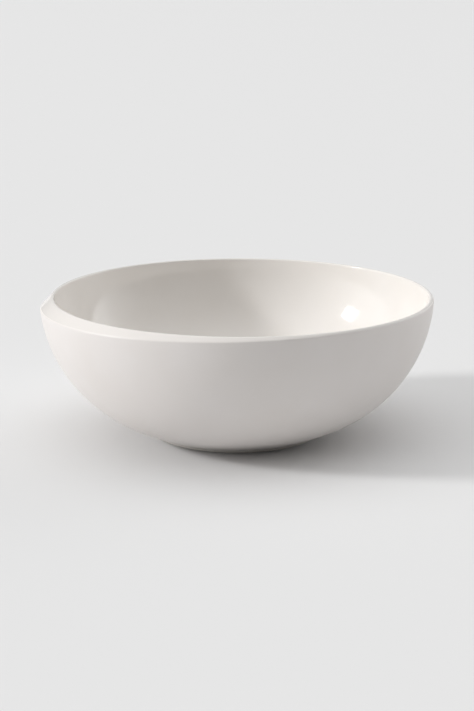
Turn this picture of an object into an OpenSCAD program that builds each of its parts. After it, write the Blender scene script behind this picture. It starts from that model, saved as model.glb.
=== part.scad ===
// Porcelain serving bowl with an off-centre hollow.
// The outside is turned about one upright axis and the hollow about a second one beside it,
// so the sloping rim land between them is a narrow lip on one side and a broad crescent on
// the other, and the wall is thinner under the lip than under the crescent.
// Millimetres, +Z up. The origin is the middle of the foot's standing face, and -Y is the front.

/* [Outside] */
// Diameter of the wall where it stands upright
bowl_d = 290; // [289:1:294]
// Height from the standing face to the crown of the rim
bowl_h = 105; // [104:0.5:106]
// Radius of the wall's curve
wall_arc_r = 106; // [105:0.5:107]
// Height at which the wall's curve stands upright
wall_arc_h = 107.5; // [107:0.5:108.5]
// Slope of the straight wall just above the foot, from level
foot_slope = 23.5; // [23.5:0.5:25]

/* [Opening] */
// Radius of the crown, the highest ring of the rim
crown_r = 138.8; // [137:0.1:139.2]
// How far the hollow's axis stands to the right of the outside's
opening_x = 3.6; // [0:0.1:4]
// How far the hollow's axis stands behind the outside's (negative is in front of it)
opening_y = -2.6; // [-3:0.1:0]
// Slope of the rim land, outwards and down from the crown
land_slope = 45; // [40:1:50]
// Rounding of the crown
crown_round = 1.3; // [0.8:0.1:1.5]
// Radius of the hollow's curve
hollow_arc_r = 97; // [96:0.5:98]
// Slope at which the hollow's curve meets its dished floor
floor_slope = 4; // [3:0.5:6]

/* [Foot] */
// Height of the foot ring
foot_h = 2.6; // [2.4:0.1:3]
// Outer radius of the foot ring
foot_r = 62.8; // [60:0.1:62.8]
// Width of the foot ring
foot_w = 7.5; // [6:0.5:9]
// Width of the bevel on the foot ring's two lower edges
bevel_w = 2.2; // [1:0.1:2.5]
// Height of that bevel
bevel_h = 1; // [0.3:0.1:1.2]

/* [Glaze] */
// Thickness of each coat of glaze
glaze = 0.3; // [0.2:0.05:0.4]

/* [Hidden] */
$fn = 180;
porcelain = [0.93, 0.92, 0.89];
gloss_white = [0.97, 0.96, 0.93];
satin_white = [0.88, 0.87, 0.85];
base_white = [0.90, 0.89, 0.86];
biscuit = [0.80, 0.76, 0.70];

cross = 0.001; // tangent outlines overlap by this, so that they cross cleanly
block_r = bowl_d / 2 + 5; // reaches outside the bowl
block_low = -1; // and below it

wall_centre = [bowl_d / 2 - wall_arc_r, wall_arc_h];
crown_centre = [crown_r, bowl_h - crown_round];
hollow_reach = hollow_arc_r + crown_round - cross;
hollow_rise = wall_arc_h - crown_centre[1];
hollow_centre = [crown_r - sqrt(hollow_reach * hollow_reach - hollow_rise * hollow_rise), wall_arc_h];
floor_arc_r = hollow_arc_r + hollow_centre[0] / sin(floor_slope);
floor_centre = [0, wall_arc_h + hollow_centre[0] / tan(floor_slope)];

// From the centre of a curve of radius r to where its underside or its top has this slope
function underside(r, slope) = [r * sin(slope), -r * cos(slope)];
function topside(r, slope) = [r * sin(slope), r * cos(slope)];

// The outside from its axis to the wall, above the foot, moved inwards by skin
module outside_outline(skin) {
    low = foot_h + skin;
    bend = wall_centre + underside(wall_arc_r - skin - cross, foot_slope);
    low_r = bend[0] - (bend[1] - low) / tan(foot_slope);
    intersection() {
        union() {
            translate(wall_centre) circle(wall_arc_r - skin);
            polygon([[0, low], [low_r, low], bend, wall_centre, [0, wall_arc_h]]);
        }
        translate([0, low]) square([block_r, wall_arc_h - low]);
    }
}

// The hollow from its axis to its wall, moved outwards by skin
module hollow_outline(skin) {
    seam = hollow_centre + underside(hollow_arc_r + skin + 1, floor_slope);
    intersection() {
        translate(floor_centre) circle(floor_arc_r + skin - cross);
        polygon([[0, block_low], [seam[0], block_low], seam, hollow_centre, [0, wall_arc_h]]);
    }
    intersection() {
        translate(hollow_centre) circle(hollow_arc_r + skin);
        square([block_r, wall_arc_h]);
    }
}

// All that lies under the rim land and outside the hollow, moved inwards by skin
module shell_outline(skin) {
    round_r = crown_round - skin;
    land = crown_centre + topside(round_r - cross, land_slope);
    land_low = land[1] - (block_r - land[0]) * tan(land_slope);
    difference() {
        union() {
            polygon([[0, block_low], [block_r, block_low], [block_r, land_low], land, crown_centre,
                     (crown_centre + hollow_centre) / 2, [0, bowl_h / 2]]);
            translate(crown_centre) circle(round_r);
        }
        hollow_outline(skin);
    }
}

module outside(skin) {
    rotate_extrude() outside_outline(skin);
}

// Turns an outline about the hollow's axis
module about_hollow() {
    translate([opening_x, opening_y, 0]) rotate_extrude() children();
}

// The fired body, without its coats
module porcelain_body() {
    color(porcelain)
    intersection() {
        outside(glaze);
        about_hollow() shell_outline(glaze);
    }
}

// Glossy coat of the hollow, carried over the crown and the rim land
module inside_glaze() {
    color(gloss_white)
    intersection() {
        outside(glaze);
        about_hollow() difference() {
            shell_outline(0);
            shell_outline(glaze);
        }
    }
}

// Satin coat of the wall, from the rim land's edge to the foot ring
module outside_glaze() {
    color(satin_white)
    intersection() {
        rotate_extrude() difference() {
            outside_outline(0);
            outside_outline(glaze);
            square([foot_r, wall_arc_h]);
        }
        about_hollow() shell_outline(0);
    }
}

// Coat of the recess under the bowl, inside the foot ring
module base_glaze() {
    color(base_white)
    translate([0, 0, foot_h]) cylinder(h = glaze, r = foot_r - foot_w);
}

// Bare ring that the bowl stands on, ground flat underneath and bevelled on both sides
module foot_ring() {
    inner_r = foot_r - foot_w;
    top = foot_h + glaze;
    color(biscuit)
    rotate_extrude()
    polygon([[inner_r, top], [inner_r, bevel_h], [inner_r + bevel_w, 0],
             [foot_r - bevel_w, 0], [foot_r, bevel_h], [foot_r, top]]);
}

porcelain_body();
foot_ring();
inside_glaze();
outside_glaze();
base_glaze();
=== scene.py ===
"""The looks of a porcelain serving bowl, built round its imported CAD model. Metres, +Z up."""

from math import atan2, cos, pi, radians, sin, sqrt, tan

import bpy
import numpy as np
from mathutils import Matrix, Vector


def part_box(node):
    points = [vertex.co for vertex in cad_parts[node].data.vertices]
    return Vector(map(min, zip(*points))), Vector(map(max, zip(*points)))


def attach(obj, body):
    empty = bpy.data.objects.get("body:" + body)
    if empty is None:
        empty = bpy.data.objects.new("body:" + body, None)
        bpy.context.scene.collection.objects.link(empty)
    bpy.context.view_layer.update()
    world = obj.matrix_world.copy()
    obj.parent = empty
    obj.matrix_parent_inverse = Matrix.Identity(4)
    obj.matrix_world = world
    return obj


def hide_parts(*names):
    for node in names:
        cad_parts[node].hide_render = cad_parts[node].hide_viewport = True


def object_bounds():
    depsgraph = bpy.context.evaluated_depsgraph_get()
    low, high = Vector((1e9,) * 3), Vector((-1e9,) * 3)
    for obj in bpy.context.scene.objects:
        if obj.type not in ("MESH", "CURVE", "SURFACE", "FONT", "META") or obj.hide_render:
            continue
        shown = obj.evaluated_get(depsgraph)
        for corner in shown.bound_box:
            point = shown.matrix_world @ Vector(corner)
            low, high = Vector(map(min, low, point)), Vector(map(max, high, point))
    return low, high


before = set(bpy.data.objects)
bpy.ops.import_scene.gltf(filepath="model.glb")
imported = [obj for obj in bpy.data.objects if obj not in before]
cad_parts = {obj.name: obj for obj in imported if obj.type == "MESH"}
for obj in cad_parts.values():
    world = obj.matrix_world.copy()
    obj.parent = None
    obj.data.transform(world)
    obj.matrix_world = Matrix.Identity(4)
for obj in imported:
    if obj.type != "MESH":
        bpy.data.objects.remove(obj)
cad_low, cad_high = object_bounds()

# Sizes that the frame gives
foot_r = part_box("foot_ring")[1].x
recess_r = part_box("base_glaze")[1].x
foot_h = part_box("base_glaze")[0].z
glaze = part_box("base_glaze")[1].z - foot_h
bowl_h = cad_high.z

# Sizes of the design, as the CAD source has them
bowl_d = 0.290
wall_arc_r = 0.106
wall_arc_h = 0.1075
foot_slope = radians(23.5)
crown_r = 0.1388
axis = np.zeros(3)
opening = np.array([0.0036, -0.0026, 0.0])
land_slope = radians(45)
crown_round = 0.0013
hollow_arc_r = 0.097
floor_slope = radians(4)
bevel_w = 0.0022
bevel_h = 0.001

# Softness of the edges, and how far above the crease's rounding the two coats meet
crease_round = 0.0019
foot_soft = 0.0002
split_gap = 0.00015

# Places worked out from them, as radius and height
wall_centre = (bowl_d / 2 - wall_arc_r, wall_arc_h)
crown_centre = (crown_r, bowl_h - crown_round)
hollow_rise = wall_arc_h - crown_centre[1]
hollow_reach = hollow_arc_r + crown_round
hollow_centre = (crown_r - sqrt(hollow_reach**2 - hollow_rise**2), wall_arc_h)
floor_arc_r = hollow_arc_r + hollow_centre[0] / sin(floor_slope)
floor_centre_h = wall_arc_h + hollow_centre[0] / tan(floor_slope)
crown_slope = atan2(crown_centre[0] - hollow_centre[0], hollow_rise)
coat_top = foot_h + glaze  # where the foot ring and the recess's coat meet the body

# Mesh fineness: columns round the bowl, rows along each stretch, and the middle discs' radius
COLUMNS = 192
FLOOR_ROWS = 4
HOLLOW_ROWS = 44
CROWN_ROWS = 13
LAND_ROWS = 4
CREASE_ROWS = 9
WALL_ROWS = 40
CONE_ROWS = 5
SEAT_ROWS = 2
UNDER_ROWS = 6
RECESS_ROWS = 5
FLANK_ROWS = 4
BEND_ROWS = 5
FOOT_TOP_ROWS = 7
CAP_R = 0.034
SHARP_ANGLE = radians(40)

# The search for the crease: a width that the land reaches nowhere, and how often it is halved
LAND_LIMIT = 0.02
HALVINGS = 40

turn = np.arange(COLUMNS) * 2 * pi / COLUMNS  # the azimuth of each column


# ---------------------------------------------------------------- surfaces

def ring(radius, height, azimuth=turn, centre=(0.0, 0.0, 0.0)):
    """A ring of points. Its radius and height are each one number, or one for each column."""
    level = height + 0 * azimuth
    points = np.stack([radius * np.cos(azimuth), radius * np.sin(azimuth), level], 1)
    return points + np.asarray(centre)


def shares(rows):
    """Even steps up to 1, without the 0."""
    return np.linspace(0, 1, rows + 1)[1:]


def hollow_rings():
    """Rings of the hollow from just outside its middle, over the crown, to the land's start."""
    outline = []
    cap_slope = np.arcsin(CAP_R / floor_arc_r)
    for slope in np.linspace(cap_slope, floor_slope, FLOOR_ROWS, endpoint=False):
        outline.append((floor_arc_r * sin(slope), floor_centre_h - floor_arc_r * cos(slope)))
    for slope in np.linspace(floor_slope, crown_slope, HOLLOW_ROWS, endpoint=False):
        outline.append((hollow_centre[0] + hollow_arc_r * sin(slope),
                        hollow_centre[1] - hollow_arc_r * cos(slope)))
    for lean in np.linspace(-crown_slope, land_slope, CROWN_ROWS):
        outline.append((crown_centre[0] + crown_round * sin(lean),
                        crown_centre[1] + crown_round * cos(lean)))
    return [ring(r, h, centre=opening) for r, h in outline]


def land_point(down):
    """Points of the land this far down its slope from the crown, one for each column."""
    radius = crown_centre[0] + crown_round * sin(land_slope) + down * cos(land_slope)
    height = crown_centre[1] + crown_round * cos(land_slope) - down * sin(land_slope)
    return ring(radius, height, centre=opening)


def wall_point(slope, azimuth):
    """Points of the wall's curve where it has this slope."""
    radius = wall_centre[0] + wall_arc_r * np.sin(slope)
    height = wall_centre[1] - wall_arc_r * np.cos(slope)
    return ring(radius, height, azimuth)


def find_crease():
    """How far down the land each column meets the wall, by halving."""
    near, far = np.zeros(COLUMNS), np.full(COLUMNS, LAND_LIMIT)
    for _ in range(HALVINGS):
        middle = (near + far) / 2
        points = land_point(middle)
        reach = wall_centre[0] + np.sqrt(wall_arc_r**2 - (wall_arc_h - points[:, 2]) ** 2)
        outside = np.hypot(points[:, 0], points[:, 1]) > reach
        far = np.where(outside, middle, far)
        near = np.where(outside, near, middle)
    return (near + far) / 2


def glazed_surface():
    """Every ring of the glazed surface, from the hollow's middle to the foot, the number of the
    ring where its two coats meet, and how much each ring is darkened: by the coat thinning
    over the crown and the crease, and by painted shade over the whole land."""
    crease_down = find_crease()
    crease = land_point(crease_down)
    crease_turn = np.unwrap(np.arctan2(crease[:, 1], crease[:, 0]))
    crease_slope = np.arccos((wall_arc_h - crease[:, 2]) / wall_arc_r)
    bend = (pi - crease_slope - land_slope) / 2
    trim = crease_round * np.tan(bend)
    split_down = crease_down - trim - split_gap

    rings = hollow_rings()
    thinning_and_shade = [0.0] * (len(rings) - CROWN_ROWS)
    thinning_and_shade += [(i + 0.5) / CROWN_ROWS for i in range(CROWN_ROWS)]
    # The land takes the full darkening: painted shade that tones down its upward-facing slope
    for share in shares(LAND_ROWS):
        rings.append(land_point(split_down * share))
        thinning_and_shade.append(1.0)
    split = len(rings) - 1

    top = land_point(crease_down - trim)
    wall_start = crease_slope - trim / wall_arc_r
    bottom = wall_point(wall_start, crease_turn)
    weight = np.cos(bend)[:, None]
    for t in np.linspace(0, 1, CREASE_ROWS):
        a, b, c = (1 - t) ** 2, 2 * t * (1 - t) * weight, t**2
        rings.append((a * top + b * crease + c * bottom) / (a + b + c))
        thinning_and_shade.append(1 - t)

    for t in shares(WALL_ROWS):
        slope = wall_start + (foot_slope - wall_start) * t
        rings.append(wall_point(slope, crease_turn + (turn - crease_turn) * t))
    bend_r = wall_centre[0] + wall_arc_r * sin(foot_slope)
    bend_h = wall_centre[1] - wall_arc_r * cos(foot_slope)
    cone_r = bend_r - (bend_h - foot_h) / tan(foot_slope)
    for t in shares(CONE_ROWS):
        rings.append(ring(bend_r + (cone_r - bend_r) * t, bend_h + (foot_h - bend_h) * t))
    for t in shares(SEAT_ROWS):
        rings.append(ring(cone_r + (foot_r - cone_r) * t, foot_h))
    thinning_and_shade += [0.0] * (len(rings) - len(thinning_and_shade))
    return np.array(rings), split, thinning_and_shade


def outward(surface):
    """Directions straight out of a surface of rings."""
    along = np.gradient(surface, axis=0)
    around = np.roll(surface, -1, axis=1) - np.roll(surface, 1, axis=1)
    out = np.cross(along, around)
    return out / np.linalg.norm(out, axis=2, keepdims=True)


# ---------------------------------------------------------------- meshes

def disc(centre, radius, height):
    """A square net of points laid over a disc. Its height is a function of the radius."""
    cells = COLUMNS // 4
    side = np.linspace(-1, 1, cells + 1)
    points = np.zeros((cells + 1, cells + 1, 3))
    for i, u in enumerate(side):
        for j, v in enumerate(side):
            if abs(u) >= abs(v):
                reach, lean = u, (pi / 4 * v / u if u else 0.0)
            else:
                reach, lean = v, pi / 2 - pi / 4 * u / v
            points[i, j] = (centre[0] + radius * reach * cos(lean),
                            centre[1] + radius * reach * sin(lean), height(abs(reach) * radius))
    return points


def add_disc(verts, faces, edge, centre, radius, height, flip):
    """Closes a ring of vertices, edge, with a disc of quads."""
    points = disc(centre, radius, height)
    cells = COLUMNS // 4
    index = np.zeros((cells + 1, cells + 1), int)
    for i in range(cells + 1):
        for j in range(cells + 1):
            if i in (0, cells) or j in (0, cells):
                u, v = points[i, j, 0] - centre[0], points[i, j, 1] - centre[1]
                index[i, j] = edge[round(atan2(v, u) / (2 * pi / COLUMNS)) % COLUMNS]
            else:
                index[i, j] = len(verts)
                verts.append(points[i, j])
    for i in range(cells):
        for j in range(cells):
            quad = (index[i, j], index[i + 1, j], index[i + 1, j + 1], index[i, j + 1])
            faces.append(quad[::-1] if flip else quad)


def shell(name, rings, caps=(), closed=False, thin_coat_and_shade=()):
    """A closed mesh of quads through these rings. Either caps close it, each given as its ring's
    number, whether it faces down, and its disc, or its last ring meets its first."""
    verts = [p for r in rings for p in r]
    faces = []
    steps = len(rings) if closed else len(rings) - 1
    for i in range(steps):
        a, b = i * COLUMNS, (i + 1) % len(rings) * COLUMNS
        for k in range(COLUMNS):
            n = (k + 1) % COLUMNS
            faces.append((a + k, b + k, b + n, a + n))
    for at, flip, centre, radius, height in caps:
        edge = range(at * COLUMNS, (at + 1) * COLUMNS)
        add_disc(verts, faces, edge, centre, radius, height, flip)
    mesh = bpy.data.meshes.new(name)
    mesh.from_pydata([tuple(v) for v in verts], [], [tuple(int(i) for i in f) for f in faces])
    mesh.update()
    mesh.polygons.foreach_set("use_smooth", [True] * len(mesh.polygons))
    mesh.set_sharp_from_angle(angle=SHARP_ANGLE)
    # Each ring's darkening share, kept on the mesh: thinner coat at the crown and crease,
    # painted shade on the land
    values = np.zeros(len(verts), np.float32)
    values[: len(thin_coat_and_shade) * COLUMNS] = np.repeat(thin_coat_and_shade, COLUMNS)
    mesh.attributes.new("thin_coat_and_shade", "FLOAT", "POINT").data.foreach_set("value", values)
    piece = bpy.data.objects.new(name, mesh)
    bpy.context.scene.collection.objects.link(piece)
    return piece


def hollow_floor(skin):
    """Height of the hollow's dished floor at a radius, moved down by skin."""
    return lambda r: floor_centre_h - sqrt((floor_arc_r + skin) ** 2 - r**2)


def flat(height):
    """The same height at every radius."""
    return lambda r: height


surface, split, thinning_and_shade = glazed_surface()
under = surface - glaze * outward(surface)
under_cap_r = float(np.hypot(*(under[0, 0, :2] - opening[:2])))


def make_inside():
    """The glossy coat of the hollow, the crown and the land."""
    rings = list(surface[: split + 1]) + list(under[split::-1])
    caps = [(0, False, opening, CAP_R, hollow_floor(0.0)),
            (len(rings) - 1, True, opening, under_cap_r, hollow_floor(glaze))]
    return shell("inside_coat", rings, caps, thin_coat_and_shade=thinning_and_shade[: split + 1])


def make_outside():
    """The satin coat from the land's lower edge to the foot ring."""
    rings = list(surface[split:]) + list(under[:split - 1:-1])
    return shell("outside_coat", rings, closed=True, thin_coat_and_shade=thinning_and_shade[split:])


def make_body():
    """The fired body under its coats."""
    inner = [ring(r, coat_top) for r in np.linspace(foot_r, CAP_R, UNDER_ROWS)[1:]]
    rings = list(under) + inner
    caps = [(0, False, opening, under_cap_r, hollow_floor(glaze)),
            (len(rings) - 1, True, axis, CAP_R, flat(coat_top))]
    return shell("clay_body", rings, caps)


def make_recess():
    """The coat of the recess inside the foot ring."""
    rings = [ring(r, coat_top) for r in np.linspace(CAP_R, recess_r, RECESS_ROWS)]
    rings += [ring(r, foot_h) for r in np.linspace(recess_r, CAP_R, RECESS_ROWS)]
    caps = [(0, False, axis, CAP_R, flat(coat_top)),
            (len(rings) - 1, True, axis, CAP_R, flat(foot_h))]
    return shell("recess_coat", rings, caps)


def softened(before, corner, after, size):
    """Points that take an outline round this corner of it."""
    start = corner + size * (before - corner) / np.linalg.norm(before - corner)
    stop = corner + size * (after - corner) / np.linalg.norm(after - corner)
    return [(1 - t) ** 2 * start + 2 * t * (1 - t) * corner + t**2 * stop
            for t in np.linspace(0, 1, BEND_ROWS)]


def make_foot():
    """The bevelled ring, outlined down its outer flank, across its standing face and back up."""
    corners = np.array([(foot_r, coat_top), (foot_r, bevel_h), (foot_r - bevel_w, 0.0),
                        (recess_r + bevel_w, 0.0), (recess_r, bevel_h), (recess_r, coat_top)])
    outline = [corners[0]]
    for before, corner, after in zip(corners, corners[1:], corners[2:]):
        last, bend = outline[-1], softened(before, corner, after, foot_soft)
        outline += [last + (bend[0] - last) * t for t in shares(FLANK_ROWS)[:-1]] + bend
    last = outline[-1]
    outline += [last + (corners[-1] - last) * t for t in shares(FLANK_ROWS)]
    outline += [(r, coat_top) for r in np.linspace(recess_r, foot_r, FOOT_TOP_ROWS)[1:-1]]
    return shell("bare_foot", [ring(r, h) for r, h in outline], closed=True)


# ---------------------------------------------------------------- materials

inside_white = (0.882, 0.852, 0.819)
outside_white = (0.828, 0.79, 0.767)
# Tone of the darkening: thinner coat over the crown and crease, painted shade over the land
thin_coat_and_shade_tone = (0.815, 0.775, 0.74)
speck_tone = (0.36, 0.29, 0.22)
body_tones = (0.85, 0.83, 0.79), (0.82, 0.795, 0.75)
foot_tones = (0.82, 0.79, 0.745), (0.75, 0.715, 0.665)
deepening = (0.975, 0.97, 0.96)

# The middle range, which soft noise mostly keeps to
MIDDLE = (0.3, 0.7)

# The glaze's detail: sizes, and how much of their tone the pinholes and the darkening take,
# the darkening being thinner coat over the crown and crease and painted shade over the land
cloud_size = 0.045
sheen_size = 0.016
swell_size = 0.022
peel_size = 0.0022
throwing_pitch = 0.006
thin_coat_and_shade_strength = 0.55
pinhole_strength = 0.22
swell_to_peel = 6

# The clay's detail
clay_cloud_size = 0.012
scoring_pitch = 0.0007
clay_roughness = (0.78, 0.95)
grain_strength = 0.45
roughness_to_grain = 4


def add_node(tree, kind, inputs=(), **settings):
    """Adds a node and sets or links its inputs, each a socket and a value or an output."""
    node = tree.nodes.new("ShaderNode" + kind)
    for key, value in settings.items():
        setattr(node, key, value)
    for socket, value in inputs:
        if isinstance(value, bpy.types.NodeSocket):
            tree.links.new(value, node.inputs[socket])
        else:
            node.inputs[socket].default_value = value
    return node


class Surface:
    """A material in the making: its shader, and the nodes that feed it."""

    def __init__(self, name, **plain):
        self.material = bpy.data.materials.new(name)
        self.material.use_nodes = True
        self.tree = self.material.node_tree
        self.shader = self.tree.nodes["Principled BSDF"]
        for socket, value in plain.items():
            self.shader.inputs[socket.replace("_", " ")].default_value = value
        self.place = self.add("TexCoord").outputs["Object"]

    def add(self, kind, inputs=(), **settings):
        """Adds a node to this material."""
        return add_node(self.tree, kind, inputs, **settings)

    def feed(self, socket, output):
        """Links an output to the shader."""
        self.tree.links.new(output, self.shader.inputs[socket])

    def noise(self, size, detail=2.0):
        """Soft clouds of about this size."""
        inputs = [("Vector", self.place), ("Scale", 1 / size), ("Detail", detail)]
        return self.add("TexNoise", inputs).outputs["Fac"]

    def math(self, operation, a, b):
        """A sum, product or comparison of two values or outputs."""
        return self.add("Math", [(0, a), (1, b)], operation=operation).outputs[0]

    def remap(self, value, low, high, start, stop):
        """Spreads a value from start..stop to low..high."""
        inputs = [("Value", value), ("From Min", start), ("From Max", stop),
                  ("To Min", low), ("To Max", high)]
        return self.add("MapRange", inputs).outputs["Result"]

    def blend(self, amount, a, b):
        """From a, a colour or an output, to colour b."""
        first = a if isinstance(a, bpy.types.NodeSocket) else (*a, 1)
        inputs = [(0, amount), (6, first), (7, (*b, 1))]
        return self.add("Mix", inputs, data_type="RGBA").outputs[2]

    def wheel_marks(self, centre, size):
        """Faint rings about an upright axis, as a potter's wheel leaves them."""
        inputs = [(0, self.place), (1, tuple(centre))]
        offset = self.add("VectorMath", inputs, operation="SUBTRACT").outputs[0]
        x, y, z = self.add("SeparateXYZ", [(0, offset)]).outputs
        level = self.add("CombineXYZ", [(0, x), (1, y)]).outputs[0]
        radius = self.add("VectorMath", [(0, level)], operation="LENGTH").outputs["Value"]
        along = self.math("ADD", radius, z)
        inputs = [("W", along), ("Scale", 1 / size), ("Detail", 2.0)]
        return self.add("TexNoise", inputs, noise_dimensions="1D").outputs["Fac"]

    def specks(self, spacing, size, share):
        """Small round spots in this share of the cells of a net."""
        cells = self.add("TexVoronoi", [("Vector", self.place), ("Scale", 1 / spacing)]).outputs
        dot = self.remap(cells["Distance"], 1.0, 0.0, 0.0, size / spacing)
        chosen = self.add("SeparateColor", [(0, cells["Color"])]).outputs[0]
        return self.math("MULTIPLY", dot, self.math("LESS_THAN", chosen, share))

    def bump(self, height, depth, below=None):
        """Bends the surface by a height, on top of the bump below."""
        inputs = [("Height", height), ("Distance", depth)]
        if below:
            inputs.append(("Normal", below))
        return self.add("Bump", inputs).outputs["Normal"]


def glaze_surface(name, colour, roughness, centre, peel, ripple):
    """Fired white glaze: cloudy by a hair, deeper in tone where the coat thins over the crown
    and the crease and with painted shade over the land, with pinholes, wheel marks and orange
    peel.
    peel and ripple are the depths of the peel and of the marks."""
    s = Surface(name, IOR=1.52)
    deeper = tuple(c * k for c, k in zip(colour, deepening))
    tone = s.blend(s.remap(s.noise(cloud_size), 0.0, 1.0, *MIDDLE), colour, deeper)
    # The darkening share: thinner coat at the crown and crease, painted shade on the land
    thinness_and_shade = s.add("Attribute", attribute_name="thin_coat_and_shade").outputs["Fac"]
    tone = s.blend(s.math("MULTIPLY", thinness_and_shade, thin_coat_and_shade_strength), tone, thin_coat_and_shade_tone)
    pinholes = s.specks(spacing=0.006, size=0.00022, share=0.08)
    tone = s.blend(s.math("MULTIPLY", pinholes, pinhole_strength), tone, speck_tone)
    s.feed("Base Color", tone)
    s.feed("Roughness", s.remap(s.noise(sheen_size, 3.0), *roughness, *MIDDLE))
    marks = s.bump(s.wheel_marks(centre, throwing_pitch), ripple)
    swell = s.bump(s.noise(swell_size, 1.0), peel * swell_to_peel, marks)
    s.feed("Normal", s.bump(s.noise(peel_size, 1.0), peel, swell))
    return s.material


def clay_surface(name, tones, grain, depth, scored):
    """Bare fired clay: matt, in two tones, with darker grains and fine rings. grain is a size,
    and depth and scored are the depths of the grain and of the rings."""
    s = Surface(name, IOR=1.45)
    tone = s.blend(s.remap(s.noise(clay_cloud_size, 4.0), 0.0, 1.0, *MIDDLE), *tones)
    grains = s.specks(spacing=0.0016, size=0.00016, share=0.3)
    tone = s.blend(s.math("MULTIPLY", grains, grain_strength), tone, speck_tone)
    s.feed("Base Color", tone)
    s.feed("Roughness", s.remap(s.noise(grain * roughness_to_grain), *clay_roughness, *MIDDLE))
    rings = s.bump(s.wheel_marks(axis, scoring_pitch), scored)
    s.feed("Normal", s.bump(s.noise(grain, 3.0), depth, rings))
    return s.material


pieces = [
    (make_inside, "inside_glaze", "gloss_glaze",
     glaze_surface("gloss_glaze", inside_white, roughness=(0.06, 0.10), centre=opening,
                   peel=0.000002, ripple=0.000008)),
    (make_outside, "outside_glaze", "satin_glaze",
     glaze_surface("satin_glaze", outside_white, roughness=(0.42, 0.48), centre=axis,
                   peel=0.000004, ripple=0.000014)),
    (make_body, "porcelain_body", "porcelain",
     clay_surface("porcelain", body_tones, grain=0.0005, depth=0.00001, scored=0.000002)),
    (make_foot, "foot_ring", "biscuit",
     clay_surface("biscuit", foot_tones, grain=0.0004, depth=0.00003, scored=0.00002)),
    (make_recess, "base_glaze", "base_coat",
     glaze_surface("base_coat", outside_white, roughness=(0.10, 0.16), centre=axis,
                   peel=0.000004, ripple=0.00002)),
]
for make, node, slot, material in pieces:
    piece = make()
    piece.data.materials.append(material)
    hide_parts(node)
    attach(piece, "root")


# ---------------------------------------------------------------- floor, lights and camera

floor_half = 15.0
floor_grey = (0.8, 0.8, 0.8, 1)

# The softbox: azimuth and elevation, width and height as angles, strength and distance
key_place = (186.5, 25)
key_width = radians(8)
key_height = radians(7.5)
key_strength = 1.55
key_far = 100.0

# Broad patches of a white room: azimuth, elevation, narrowness and strength of each
room = [
    (30, 10, 8, 2.19),
    (90, 10, 8, 0.61),
    (180, 10, 8, 1.5),
    (210, 10, 8, 0.48),
    (0, 90, 4, 1.66),
]
backdrop = 0.8

camera_tilt = radians(13.95)
camera_far = 1.3
camera_aim = Vector((0.0003, 0.0, 0.0573))


def make_floor():
    """A plain pale floor that reaches past the camera's view."""
    h = floor_half
    mesh = bpy.data.meshes.new("floor")
    mesh.from_pydata([(-h, -h, 0), (h, -h, 0), (h, h, 0), (-h, h, 0)], [], [(0, 1, 2, 3)])
    floor = bpy.data.objects.new("floor", mesh)
    bpy.context.scene.collection.objects.link(floor)
    paper = Surface("floor_paper", Base_Color=floor_grey, Roughness=0.95, Specular_IOR_Level=0.0)
    mesh.materials.append(paper.material)


def towards(azimuth, elevation):
    """The direction in which something lies, in degrees from +X and above the floor."""
    a, e = radians(azimuth), radians(elevation)
    return Vector((cos(a) * cos(e), sin(a) * cos(e), sin(e)))


def make_key():
    """A softbox, so far off that it lights the whole floor evenly."""
    light = bpy.data.lights.new("key", "AREA")
    light.shape = "RECTANGLE"
    light.size = 2 * key_far * tan(key_width / 2)
    light.size_y = 2 * key_far * tan(key_height / 2)
    light.energy = key_strength * pi * key_far**2
    lamp = bpy.data.objects.new("key", light)
    lamp.location = towards(*key_place) * key_far
    lamp.rotation_mode = "QUATERNION"
    lamp.rotation_quaternion = towards(*key_place).to_track_quat("Z", "Y")
    bpy.context.scene.collection.objects.link(lamp)


def make_world():
    """Soft light from the room, which the camera itself sees as a plain backdrop."""
    world = bpy.data.worlds.new("studio")
    world.use_nodes = True
    tree = world.node_tree
    direction = add_node(tree, "TexCoord").outputs["Generated"]
    total = 0.0
    for azimuth, elevation, narrowness, strength in room:
        inputs = [(0, direction), (1, towards(azimuth, elevation))]
        facing = add_node(tree, "VectorMath", inputs, operation="DOT_PRODUCT").outputs["Value"]
        ahead = add_node(tree, "Math", [(0, facing), (1, 0.0)], operation="MAXIMUM").outputs[0]
        inputs = [(0, ahead), (1, narrowness)]
        narrowed = add_node(tree, "Math", inputs, operation="POWER").outputs[0]
        inputs = [(0, narrowed), (1, strength), (2, total)]
        total = add_node(tree, "Math", inputs, operation="MULTIPLY_ADD").outputs[0]
    camera_ray = add_node(tree, "LightPath").outputs["Is Camera Ray"]
    seen = add_node(tree, "Mix", [("Factor", camera_ray), ("A", total), ("B", backdrop)])
    background = tree.nodes["Background"]
    tree.links.new(seen.outputs["Result"], background.inputs["Strength"])
    background.inputs["Color"].default_value = (1, 1, 1, 1)
    bpy.context.scene.world = world


def make_camera():
    """Looks at the bowl from the front, a little down."""
    data = bpy.data.cameras.new("camera")
    data.lens = 88.4
    data.sensor_width = 36
    data.clip_start, data.clip_end = 0.05, 100
    camera = bpy.data.objects.new("camera", data)
    back = Vector((0, -cos(camera_tilt), sin(camera_tilt)))
    camera.location = camera_aim + camera_far * back
    camera.rotation_euler = (pi / 2 - camera_tilt, 0, 0)
    bpy.context.scene.collection.objects.link(camera)
    bpy.context.scene.camera = camera


make_floor()
make_key()
make_world()
make_camera()
bpy.context.scene.view_settings.view_transform = "Standard"
